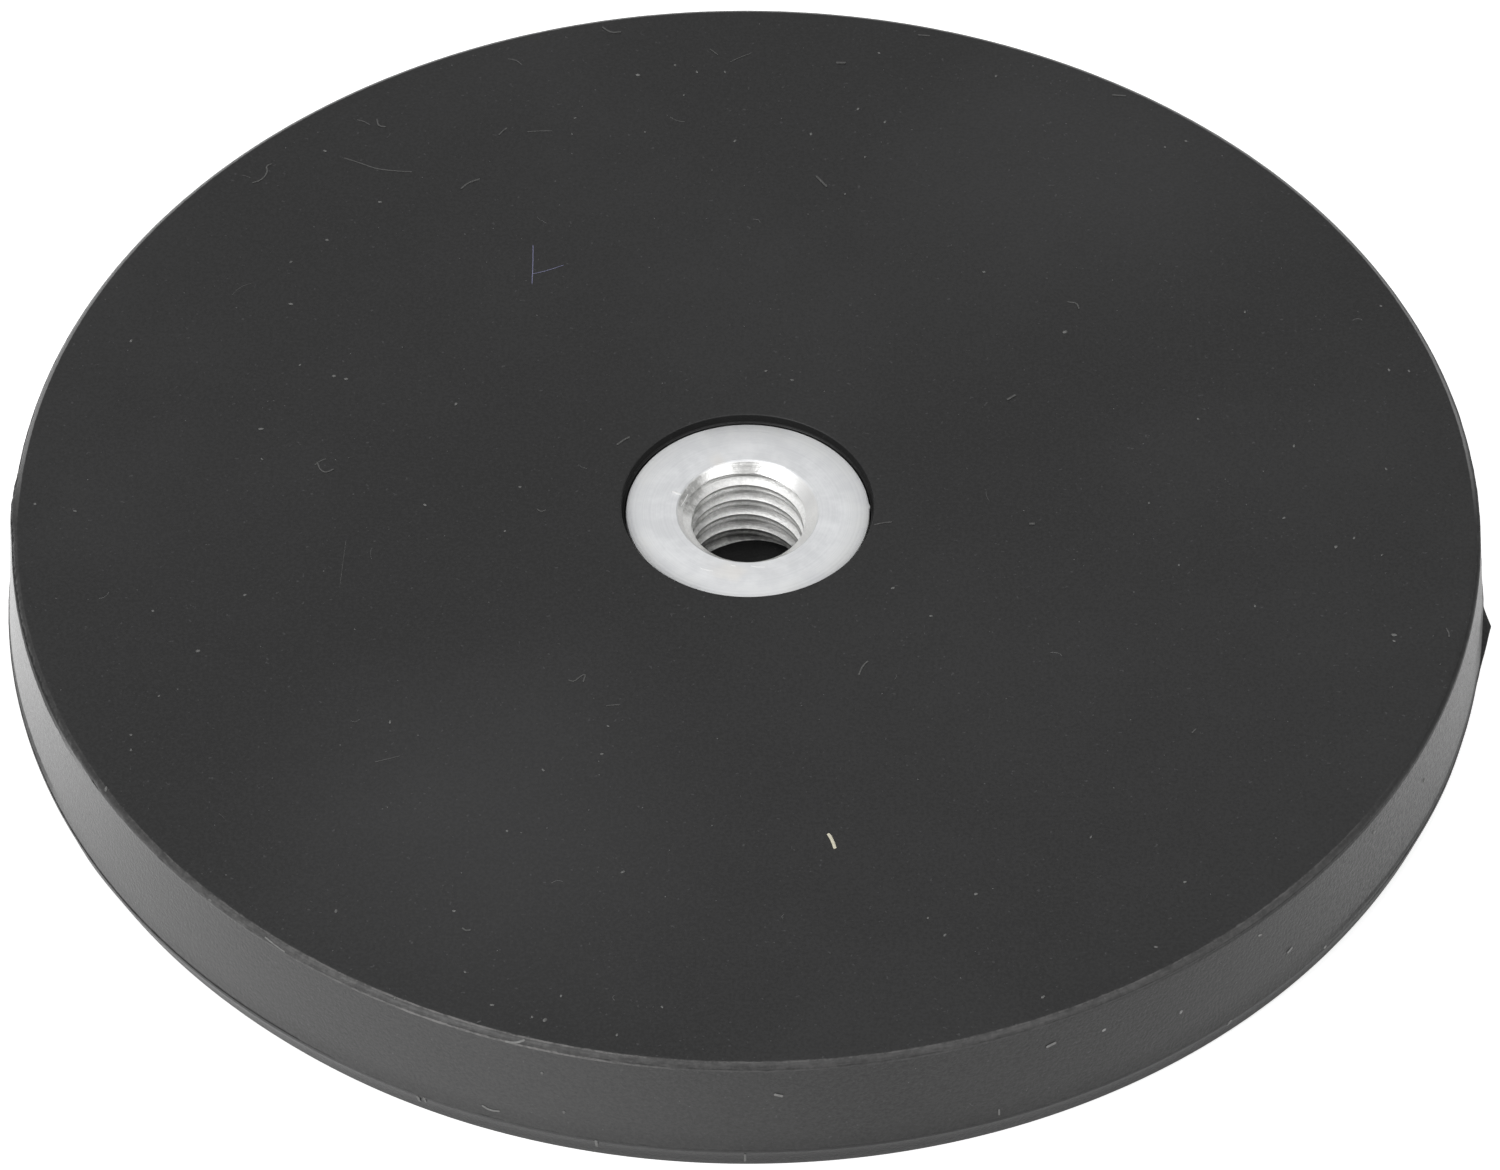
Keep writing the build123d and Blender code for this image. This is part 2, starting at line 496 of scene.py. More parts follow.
def make_bush():
    """The turned bush with its flange under the plate and its real thread."""
    mesh = bmesh.new()
    low, high = tapped_bore(mesh)
    body = flange_rings() + [(BUSH_RADIUS, PLATE_BOTTOM), (BUSH_RADIUS, PLATE_TOP)]
    head = [(HEAD_RADIUS, PLATE_TOP + 0.01 * MM), (HEAD_RADIUS, BUSH_FACE - BUSH_EDGE * 2)]
    for inset, down in ((0.0, 1.0), (0.3, 0.3), (1.0, 0.0)):
        edge = HEAD_RADIUS - BUSH_EDGE * inset
        height = BUSH_FACE - BUSH_EDGE * down
        head.append((lambda a, r=edge: r + BURR * hump(a, BURR_ANGLE, BURR_HALF_WIDTH), height))
    head += [(MOUTH_RADIUS + out * MM, BUSH_FACE) for out in (0.9, 0.05)]
    rings = [add_ring(mesh, r, z, BUSH_SEGMENTS) for r, z in body]
    rings += [add_ring(mesh, r, z, BUSH_SEGMENTS, HEAD_SHIFT) for r, z in head]
    join_rings(mesh, [low] + rings + [high])
    bmesh.ops.remove_doubles(mesh, verts=mesh.verts, dist=1e-7)
    bmesh.ops.recalc_face_normals(mesh, faces=mesh.faces)
    return finish_mesh("bush", mesh, 25)


# -------- node helpers

def feed(inputs, links):
    """Links each named input to a socket, or sets it to a value."""
    for key, value in links.items():
        if isinstance(value, bpy.types.NodeSocket):
            value.id_data.links.new(value, inputs[key])
        else:
            inputs[key].default_value = value


def wire(tree, kind, links=None, **settings):
    """A node with its settings and its inputs."""
    node = tree.nodes.new(kind)
    for key, value in settings.items():
        setattr(node, key, value)
    feed(node.inputs, links or {})
    return node


def maths(operation, *values, clamp=False):
    """The result of a Math node, in the tree that its sockets belong to."""
    tree = next(value.id_data for value in values if isinstance(value, bpy.types.NodeSocket))
    links = dict(enumerate(values))
    return wire(tree, "ShaderNodeMath", links, operation=operation, use_clamp=clamp).outputs[0]


def chain(operation, values):
    """One operation run through a row of values."""
    total = values[0]
    for value in values[1:]:
        total = maths(operation, total, value)
    return total


def times(*values):
    """The product of some values."""
    return chain("MULTIPLY", values)


def plus(*values):
    """The sum of some values."""
    return chain("ADD", values)


def most(*values):
    """The largest of some values."""
    return chain("MAXIMUM", values)


def noise_of(point, scale, detail=2.0, roughness=0.5):
    """A noise value about a point."""
    links = {"Vector": point, "Scale": scale, "Detail": detail, "Roughness": roughness}
    return wire(point.id_data, "ShaderNodeTexNoise", links).outputs["Fac"]


def spread(value, low, high, start=0.0, end=1.0):
    """A value mapped from one range to another, with a smooth step."""
    links = {"Value": value, "From Min": low, "From Max": high, "To Min": start, "To Max": end}
    return wire(value.id_data, "ShaderNodeMapRange", links, interpolation_type="SMOOTHSTEP").outputs[0]


def within(mask, *spans):
    """A mask faded by spans, each a value with the ranges that spread maps it from and to."""
    return times(mask, *(spread(*span) for span in spans))


def blend(factor, first, second):
    """A colour between two others."""
    links = {0: factor, 6: first, 7: second}
    return wire(factor.id_data, "ShaderNodeMix", links, data_type="RGBA").outputs[2]


def about_axis(point):
    """A point's X, Y and Z, the point brought down to Z = 0, and its distance from the axis."""
    tree = point.id_data
    x, y, z = wire(tree, "ShaderNodeSeparateXYZ", {0: point}).outputs
    flat = wire(tree, "ShaderNodeCombineXYZ", {0: x, 1: y}).outputs[0]
    return x, y, z, flat, distance(flat, (0, 0, 0))


def distance(point, place):
    """How far a point lies from a place."""
    links = {0: point, 1: place}
    return wire(point.id_data, "ShaderNodeVectorMath", links, operation="DISTANCE").outputs["Value"]


def new_group(name, inputs, outputs):
    """A shader node group with named inputs, a point or numbers with defaults, and number outputs."""
    group = bpy.data.node_groups.new(name, "ShaderNodeTree")
    for label, value in inputs.items():
        kind = "NodeSocketVector" if value is None else "NodeSocketFloat"
        socket = group.interface.new_socket(label, in_out="INPUT", socket_type=kind)
        if value is not None:
            socket.default_value = value
    for label in outputs:
        group.interface.new_socket(label, in_out="OUTPUT", socket_type="NodeSocketFloat")
    return group, group.nodes.new("NodeGroupInput").outputs, group.nodes.new("NodeGroupOutput").inputs


def group_node(group, point, **inputs):
    """A node group placed about a point, with its other inputs given by name."""
    links = {label.replace("_", " ").title(): value for label, value in inputs.items()}
    return wire(point.id_data, "ShaderNodeGroup", {"Point": point, **links}, node_tree=group).outputs


def new_material(name):
    """A material with its shader's inputs, and the point that its patterns follow."""
    material = bpy.data.materials.new(name)
    material.use_nodes = True
    tree = material.node_tree
    point = tree.nodes.new("ShaderNodeTexCoord").outputs["Object"]
    return material, tree.nodes["Principled BSDF"].inputs, point


def bump(height, strength, depth):
    """The normal of a bumped surface."""
    links = {"Height": height, "Strength": strength, "Distance": depth}
    return wire(height.id_data, "ShaderNodeBump", links).outputs["Normal"]


# -------- shared effects

def make_mould_grain():
    """The fine grain of a moulded or rolled surface: a height for bump, and a tone."""
    group, given, out = new_group("mould_grain", {"Point": None, "Grain": 4000.0}, ["Height", "Tone"])
    fine = noise_of(given["Point"], given["Grain"], 3.0, 0.6)
    broad = noise_of(given["Point"], 45.0, 3.0, 0.5)
    feed(out, {"Height": fine, "Tone": plus(times(fine, 0.8), times(broad, 0.2))})
    return group


def make_ring_line():
    """A mask along a circle about Z with a ragged edge, and streaks drawn out along the circle."""
    inputs = {"Point": None, "Ring Radius": 0.04, "Ring Height": 0.008, "Reach": 0.0002, "Ragged": 0.3}
    group, given, out = new_group("ring_line", inputs, ["Mask", "Streaks"])
    x, y, z, _, radius = about_axis(given["Point"])
    angle = maths("ARCTAN2", x, times(y, -1.0))
    along = times(angle, given["Ring Radius"], 0.2)
    unrolled = wire(group, "ShaderNodeCombineXYZ", {0: along, 1: radius, 2: z}).outputs[0]
    drawn = times(noise_of(unrolled, 3400.0, 3.0, 0.7), 0.55)
    grainy = times(noise_of(given["Point"], 3000.0, 2.0, 0.7), 0.45)
    out_by = maths("SUBTRACT", radius, given["Ring Radius"])
    up_by = maths("SUBTRACT", z, given["Ring Height"])
    squares = plus(maths("POWER", out_by, 2.0), maths("POWER", up_by, 2.0))
    away = maths("DIVIDE", maths("SQRT", squares), given["Reach"])
    torn = maths("SUBTRACT", noise_of(given["Point"], 1900.0, 3.0, 0.6), 0.5)
    ragged = plus(away, times(torn, given["Ragged"]))
    feed(out, {"Mask": spread(ragged, 1.0, 0.6), "Streaks": plus(drawn, grainy)})
    return group


def make_dust_film():
    """A mask of pale dust: faint clouds and fine specks."""
    group, given, out = new_group("dust_film", {"Point": None, "Amount": 0.5}, ["Mask"])
    clouds = spread(noise_of(given["Point"], 70.0, 5.0, 0.6), 0.4, 0.8)
    specks = spread(noise_of(given["Point"], 4300.0, 1.0, 0.4), 0.72, 0.8)
    total = plus(times(clouds, 0.12), times(specks, 0.7))
    feed(out, {"Mask": maths("MULTIPLY", total, given["Amount"], clamp=True)})
    return group


def make_turning_marks():
    """Fine concentric tool marks about Z, as a height."""
    group, given, out = new_group("turning_marks", {"Point": None, "Spacing": 0.00006}, ["Height"])
    _, _, z, _, radius = about_axis(given["Point"])
    turns = maths("DIVIDE", plus(radius, z), given["Spacing"])
    line = wire(group, "ShaderNodeTexNoise", {"W": turns, "Scale": 1.0}, noise_dimensions="1D")
    feed(out, {"Height": line.outputs["Fac"]})
    return group


mould_grain = make_mould_grain()
ring_line = make_ring_line()
dust_film = make_dust_film()
turning_marks = make_turning_marks()

# -------- materials

RUBBER_DARK = (0.0085, 0.0085, 0.0086, 1)
RUBBER_PALE = (0.0186, 0.0186, 0.0189, 1)
RUBBER_WALL = (0.0260, 0.0258, 0.0255, 1)
RUBBER_WALL_DARK = (0.0140, 0.0140, 0.0139, 1)
RUBBER_GRIT = (0.0520, 0.0516, 0.0512, 1)
RUBBER_GRIT_DARK = (0.0040, 0.0040, 0.0040, 1)
RUBBER_STRIP_SHADE = (0.0120, 0.0120, 0.0120, 1)
RUBBER_CHAFED = (0.0900, 0.0885, 0.0875, 1)
RUBBER_BARED_AND_HIGHLIT = (0.1700, 0.1650, 0.1620, 1)
RUBBER_FAR_EDGE_HIGHLIGHT = (0.2400, 0.2400, 0.2400, 1)
RUBBER_PAINTED_SHADE = (0.0030, 0.0030, 0.0030, 1)
DUST_AND_LIGHT = (0.15, 0.15, 0.155, 1)
ZINC_FACE = (0.82, 0.828, 0.838, 1)
ZINC_FACE_DULL = (0.735, 0.743, 0.755, 1)
ZINC_FACE_WARM = (0.84, 0.81, 0.765, 1)
ZINC_FACE_EDGE_SHADE = (0.735, 0.74, 0.735, 1)
ZINC_BORE = (0.80, 0.80, 0.79, 1)
ZINC_BORE_DARK = (0.52, 0.52, 0.51, 1)
ZINC_THREAD = (0.97, 0.97, 0.96, 1)
ZINC_CONE_RIGHT_SHADE = (0.70, 0.70, 0.70, 1)
ZINC_FOOT = (0.43, 0.43, 0.42, 1)
ZINC_FOOT_DARK = (0.21, 0.21, 0.205, 1)

# Faint paler patches of painted light on the face: the middle, how far it reaches, and its strength.
LIGHT_PATCHES = (((-14 * MM, -27 * MM, 0), 20 * MM, 0.085), ((22 * MM, 29 * MM, 0), 17 * MM, 0.065))

# The circles that lines on the rubber are measured from.
RIM = (RIM_RADIUS, HEIGHT)
SEAM = (WALL_RADIUS, PARTING_HEIGHT)
# Painted shade in creases: the circle, out, up and reach in mm, where they start and are full along X as
# shares of the rim's radius, and their strength.
SHADE_LINES = (
    (RIM, 0.02, -0.45, 0.20, 0.30, 0.75, 0.45),
    (RIM, -0.05, -0.20, 0.24, 0.80, 0.93, 0.5),
    (RIM, 0.02, -0.50, 0.42, -0.85, -0.96, 0.9),
    (SEAM, -0.01, 0.07, 0.13, -0.48, -0.64, 0.30),
    (SEAM, -0.03, 0.40, 0.40, -0.90, -0.96, 0.6),
    (SEAM, -0.03, 0.32, 0.20, 0.72, 0.82, 0.45),
)


def ring(point, circle, out, up, reach, ragged=0.9):
    """A line along the jacket, out and up from a circle by mm."""
    radius, height = circle
    sizes = {"ring_radius": radius + out * MM, "ring_height": height + up * MM, "reach": reach * MM}
    return group_node(ring_line, point, ragged=ragged, **sizes)


def chafe_rim(point, right, back, colour):
    """The rim's chafed band with its torn edges, paler at the front left from wear and a painted highlight,
    and a painted highlight along its far edge.
    """
    band = ring(point, RIM, -0.14, -0.14, 0.28)
    upper = ring(point, RIM, -0.28, -0.01, 0.07, 1.0)
    lower = ring(point, RIM, 0.01, -0.42, 0.10, 1.0)
    far = ring(point, RIM, -0.22, -0.06, 0.19, 0.4)
    edges = most(upper["Mask"], times(lower["Mask"], 0.4))
    frayed = within(band["Mask"], (band["Streaks"], 0.38, 0.66, 0.30, 0.72))
    torn = within(edges, (upper["Streaks"], 0.40, 0.60, 0.3, 1.0))
    right_fade = spread(right, 0.90, 0.70, 0.0, 0.9)
    left_peak = spread(right, 0.15, -0.30, 0.0, 0.25)
    amount = within(plus(right_fade, left_peak), (right, -0.92, -0.70, 0.25, 1.0))
    amount = most(amount, spread(back, 0.0, 0.2, 0.0, 0.7))
    colour = blend(times(most(frayed, torn), amount), colour, RUBBER_CHAFED)
    # Bared rubber at the front left: partly wear, partly a painted highlight where the chamfer catches the
    # light.
    bared_and_highlit = within(
        most(lower["Mask"], upper["Mask"]),
        (right, -0.62, -0.40),
        (right, -0.05, -0.25),
        (lower["Streaks"], 0.38, 0.62, 0.2, 0.9),
        (back, 0.0, -0.3),
    )
    colour = blend(bared_and_highlit, colour, RUBBER_BARED_AND_HIGHLIT)
    # A painted highlight along the rim's far edge.
    return blend(within(far["Mask"], (back, -0.05, 0.15, 0.0, 0.85)), colour, RUBBER_FAR_EDGE_HIGHLIGHT)


def crease_shade_mask(point, right, back):
    """Painted shade: dark lines under the rim and over the parting line, with a painted shadow above the
    flash.
    """
    flash_shadow = ring(point, SEAM, -0.10, 0.8, 1.9, 0.6)["Mask"]
    masks = [within(flash_shadow, (back, -0.04, -0.10), (back, -0.23, -0.12), (right, 0.90, 0.96, 0.0, 0.4))]
    for circle, out, up, reach, start, full, strength in SHADE_LINES:
        line = ring(point, circle, out, up, reach)["Mask"]
        masks.append(within(line, (right, start, full, 0.0, strength)))
    return most(*masks)


def recess_shade_mask(x, y, z, flat):
    """Painted shade on the wall of the recess over the bush, and on its floor at the back."""
    out_by = distance(flat, (*RECESS_SHIFT, 0))
    inside = spread(out_by, RECESS_MOUTH + 0.07 * MM, RECESS_MOUTH + 0.01 * MM)
    foot = spread(z, BUSH_FACE + 0.08 * MM, BUSH_FACE + 0.03 * MM)
    turned = plus(y, times(x, -0.14))
    back_floor = spread(y, BUSH_RADIUS * 0.45, BUSH_RADIUS * 0.10)
    bottom = within(back_floor, (turned, -BUSH_RADIUS * 0.28, -BUSH_RADIUS * 0.05))
    bare_floor = times(foot, maths("SUBTRACT", 1.0, bottom))
    return within(
        times(inside, maths("SUBTRACT", 1.0, bare_floor)),
        (z, HEIGHT - 0.01 * MM, HEIGHT - 0.10 * MM),
        (z, PLATE_TOP - 0.5 * MM, PLATE_TOP - 0.1 * MM),
    )


def make_rubber():
    """Black moulded rubber: smooth on its face, duller down the wall, chafed on the rim, lightly dusty,
    with painted shade in its creases, recess and lower strip, painted highlights on the rim and painted
    light patches on the face.
    """
    material, shader, point = new_material("moulded_rubber")
    grain = group_node(mould_grain, point, grain=5200.0)
    x, y, z, flat, radius = about_axis(point)
    right = times(x, 1 / RIM_RADIUS)
    back = times(y, 1 / RIM_RADIUS)
    outside = spread(radius, RIM_RADIUS - 0.3 * MM, RIM_RADIUS - 0.1 * MM)
    on_wall = within(outside, (z, HEIGHT - 0.25 * MM, HEIGHT - 0.5 * MM))
    below = within(outside, (z, PARTING_HEIGHT + 0.05 * MM, PARTING_HEIGHT - 0.05 * MM))

    body = blend(spread(grain["Tone"], 0.36, 0.64), RUBBER_DARK, RUBBER_PALE)
    speckled = blend(spread(grain["Height"], 0.35, 0.65), RUBBER_WALL_DARK, RUBBER_WALL)
    grit = spread(noise_of(point, 4200.0, 2.0, 0.6), 0.38, 0.62)
    gritty = blend(grit, RUBBER_GRIT_DARK, RUBBER_GRIT)
    speckled = blend(spread(right, 0.64, 0.90, 0.12, 0.8), speckled, gritty)
    colour = blend(on_wall, body, speckled)
    # Painted shade: the downward-facing strip below the parting line is darkened.
    colour = blend(below, colour, RUBBER_STRIP_SHADE)
    colour = chafe_rim(point, right, back, colour)
    # Painted shade in the creases, the flash's shadow and the recess.
    dark = most(crease_shade_mask(point, right, back), recess_shade_mask(x, y, z, flat))
    colour = blend(dark, colour, RUBBER_PAINTED_SHADE)
    # Dust film, with two soft patches of painted light on the face.
    dust_and_light = [group_node(dust_film, point, amount=0.3)["Mask"]]
    for place, reach, strength in LIGHT_PATCHES:
        dust_and_light.append(spread(distance(flat, place), reach, 0.0, 0.0, strength))

    gloss = spread(on_wall, 0.0, 1.0, 0.5, 0.35)
    satin = spread(grain["Tone"], 0.3, 0.7, -0.05, 0.05)
    matt = spread(dark, 0.0, 1.0, 0.0, 0.5)
    roughness = maths("ADD", plus(gloss, satin), matt, clamp=True)
    colour = blend(plus(*dust_and_light), colour, DUST_AND_LIGHT)
    feed(shader, {"Base Color": colour, "Roughness": roughness, "Specular IOR Level": 0.38})
    wall_relief = within(on_wall, (right, -0.4, 0.9, 1.0, 2.4))
    relief = times(grain["Height"], plus(wall_relief, 1.0))
    feed(shader, {"Normal": bump(relief, 0.35, 0.00004)})
    return material


def zinc_face_colour(point, radius):
    """The bush's face: bright zinc with dull and warm patches, and painted shade in patches towards its
    edge.
    """
    patches = noise_of(point, 700.0, 4.0, 0.6)
    face = blend(spread(patches, 0.35, 0.7), ZINC_FACE_DULL, ZINC_FACE)
    warm = spread(noise_of(point, 260.0, 2.0, 0.5), 0.60, 0.74, 0.0, 0.5)
    face = blend(warm, face, ZINC_FACE_WARM)
    # Painted shade: the face darkened in patches towards its edge.
    worn = spread(radius, BUSH_RADIUS - 1.8 * MM, BUSH_RADIUS - 0.2 * MM)
    return blend(within(worn, (patches, 0.35, 0.65, 0.0, 0.6)), face, ZINC_FACE_EDGE_SHADE)


def zinc_bore_colour(side, back, depth, marks, speckle, blotch):
    """The countersink and the thread, by mm to the side, to the back and down, with painted highlights at
    the sides, a painted dark reflection in the middle and painted shade mottled at the left and on the
    cone's right.
    """
    aside = maths("ABSOLUTE", side)
    threads = spread(depth, 0.80, 1.05, 0.0, 0.8)
    bore = blend(spread(marks, 0.32, 0.68), ZINC_BORE_DARK, ZINC_BORE)
    # Painted highlights on both sides of the bore.
    bore = blend(spread(aside, 1.6, 2.8), bore, ZINC_THREAD)
    bore = blend(threads, bore, ZINC_THREAD)
    # A painted dark reflection down the middle of the bore.
    centre = spread(aside, 1.0, 0.4, 0.0, 0.7)
    centre = within(centre, (blotch, 0.3, 0.7, 1.0, 0.2), (threads, 0.0, 0.8, 1.0, 0.6))
    bore = blend(centre, bore, ZINC_FOOT)
    # Painted shade, mottled, on the upper left and the left of the bore.
    upper_left_shade = spread(side, -1.9, -3.0)
    upper_left_shade = within(upper_left_shade, (back, 0.0, 1.0), (blotch, 0.38, 0.68, 1.0, 0.45))
    mottle = spread(side, -0.6, -2.6, 0.15, 0.30)
    mottle = within(mottle, (threads, 0.0, 0.8, 0.35, 1.0), (speckle, 0.35, 0.65, 1.6, 0.0))
    bore = blend(maths("MAXIMUM", mottle, upper_left_shade, clamp=True), bore, ZINC_FOOT)
    # Painted shade: the cone's right side in a flatter, darker tone.
    right_cone_shade = spread(side, 2.3, 3.2, 0.0, 0.75)
    right_cone_shade = within(right_cone_shade, (threads, 0.0, 0.8, 1.0, 0.0), (back, 0.0, 1.6, 0.1, 1.0))
    return blend(right_cone_shade, bore, ZINC_CONE_RIGHT_SHADE)


def make_zinc():
    """Bright zinc plate on turned steel, matt on the face, glossier in the thread, darker towards its foot,
    with painted highlights and shade in the bore.
    """
    material, shader, point = new_material("zinc_plate")
    marks = group_node(turning_marks, point, spacing=0.00012)["Height"]
    speckle = noise_of(point, 6000.0, 3.0, 0.7)
    blotch = noise_of(point, 2600.0, 3.0, 0.6)
    x, y, z, _, radius = about_axis(point)
    side = times(x, 1 / MM)
    back = times(y, 1 / MM)
    depth = times(maths("SUBTRACT", BUSH_FACE, z), 1 / MM)
    inner = spread(depth, 0.02, 0.15)

    face = zinc_face_colour(point, radius)
    bore = zinc_bore_colour(side, back, depth, marks, speckle, blotch)
    # Darker towards the foot of the bore.
    foot = spread(z, BUSH_FLOOR + 1.5 * MM, BUSH_FLOOR + 0.9 * MM, 0.0, 0.85)
    darker_foot = blend(spread(blotch, 0.36, 0.64), ZINC_FOOT_DARK, ZINC_FOOT)
    colour = blend(foot, blend(inner, face, bore), darker_foot)
    feed(shader, {"Base Color": colour, "Metallic": spread(inner, 0.0, 1.0, 0.55, 0.82)})

    gloss = spread(depth, 0.1, 0.01, 0.38, 0.70)
    aside = maths("ABSOLUTE", side)
    cone = within(spread(depth, 1.0, 0.8), (aside, 2.0, 3.0, 0.0, 0.2))
    streak = spread(marks, 0.3, 0.7, -0.08, 0.08)
    uneven = plus(marks, within(speckle, (inner, 0.0, 1.0, 0.5, 6.0)))
    feed(shader, {"Roughness": plus(gloss, cone, streak), "Normal": bump(uneven, 0.3, 0.00001)})
    return material


def make_metal(name, dark, pale, roughness, grain):
    """Plain hidden metal: rolled steel or nickel plate, with a soft mottle."""
    material, shader, point = new_material(name)
    mottle = group_node(mould_grain, point, grain=grain)
    tone = spread(mottle["Tone"], 0.35, 0.65)
    finish = spread(tone, 0.0, 1.0, roughness, roughness + 0.12)
    feed(shader, {"Base Color": blend(tone, dark, pale), "Roughness": finish, "Metallic": 1.0})
    feed(shader, {"Normal": bump(mottle["Height"], 0.1, 0.00002)})
    return material


def make_lint(name, dark, pale):
    """Dry lint or dust, uneven in tone between two colours."""
    material, shader, point = new_material(name)
    tone = noise_of(point, 5000.0, 2.0)
    feed(shader, {"Base Color": blend(tone, (*dark, 1), (*pale, 1)), "Roughness": 0.9})
    return material


# -------- lint

# Each hair: half its thickness in microns, then the points of the camera's frame that it runs through.
HAIRS = {
    "far_curl": (30, (602, 27), (611, 33), (621, 32)),
    "far_streak": (25, (918, 35), (930, 36)),
    "far_dash": (40, (836, 63), (846, 63)),
    "far_fleck": (18, (710, 49), (714, 52), (718, 55)),
    "far_hair": (16, (730, 62), (741, 57), (752, 53)),
    "far_left_hair": (18, (508, 59), (516, 60), (522, 65)),
    "far_right_streak": (30, (1112, 95), (1126, 96)),
    "star_stem": (20, (357, 120), (363, 121), (370, 125)),
    "star": (26, (377, 119), (378, 126), (386, 127)),
    "edge_curl": (24, (252, 183), (262, 180), (268, 172), (266, 166), (272, 164)),
    "long_hair": (20, (344, 158), (360, 163), (376, 169), (394, 171), (412, 172)),
    "thick_dash": (28, (461, 189), (468, 183), (480, 179)),
    "short_dash": (24, (499, 135), (503, 131), (507, 128)),
    "level_hair": (17, (527, 132), (540, 131), (552, 131)),
    "faint_hair": (13, (670, 117), (677, 121), (685, 122)),
    "faint_bend": (8, (232, 295), (240, 287), (252, 283)),
    "right_dash": (36, (816, 176), (827, 187)),
    "right_hook": (22, (1067, 302), (1077, 303), (1079, 309)),
    "middle_dash": (36, (1007, 400), (1016, 395)),
    "middle_bright": (40, (1029, 524), (1035, 524)),
    "bush_dash": (19, (874, 525), (882, 523), (892, 522)),
    "bush_left_dash": (30, (617, 445), (624, 440), (630, 437)),
    "hook": (24, (317, 462), (320, 470), (326, 473), (334, 469)),
    "hook_top": (18, (315, 465), (320, 461), (326, 459)),
    "small_arc": (18, (537, 509), (541, 512), (546, 510)),
    "stray_hair": (6, (346, 540), (343, 562), (340, 585)),
    "loop": (18, (568, 680), (574, 682), (581, 676), (586, 674), (583, 682)),
    "near_dash": (18, (606, 706), (613, 705), (620, 705)),
    "faint_dash": (14, (375, 762), (388, 759), (400, 756)),
    "near_arc": (30, (462, 928), (466, 931), (471, 930)),
    "right_curve": (24, (859, 675), (862, 667), (868, 661)),
    "far_right_tail": (20, (1446, 628), (1449, 633), (1449, 637)),
    "right_fleck": (22, (1192, 733), (1196, 729)),
    "rim_hair": (20, (470, 1026), (481, 1021)),
}
WALL_HAIRS = {
    "wall_fibre": (30, (482, 1105), (490, 1110), (500, 1111)),
    "wall_dash": (40, (1046, 1047), (1056, 1042)),
    "wall_front_dash": (40, (774, 1094), (783, 1096)),
    "strip_dash": (30, (745, 1154), (745, 1161)),
    "strip_left_dash": (40, (418, 1096), (420, 1101)),
    "strip_left_fleck": (30, (424, 1097), (426, 1102)),
    "strip_fleck": (40, (596, 1140), (597, 1146)),
    "wall_bright": (26, (999, 1109), (999, 1115)),
    "rim_scuff_left": (20, (265, 937), (275, 945), (285, 952)),
    "rim_scuff": (30, (505, 1041), (515, 1043), (525, 1040)),
}
RIGHT_WALL_HAIRS = {
    "wall_right_dash": (34, (1287, 953), (1292, 947)),
    "wall_low_dash": (34, (1227, 1025), (1231, 1020)),
}
CREAM_FIBRE = {"cream": (48, (828, 834), (832, 840), (835, 849))}
BLUE_SCRATCH = {
    "scratch": (12, (533, 245), (533, 262), (532, 284)),
    "branch": (10, (532, 274), (546, 271), (564, 265)),
}
BUSH_FLAKES = {
    "flake": (40, (672, 492), (676, 493), (681, 495)),
    "front_scrape": (11, (751, 566), (758, 567), (765, 567)),
    "front_left_scrape": (12, (700, 568), (706, 570), (713, 571)),
    "middle_scrape": (10, (731, 565), (736, 566)),
    "left_scrape": (14, (688, 494), (685, 500), (681, 506)),
}

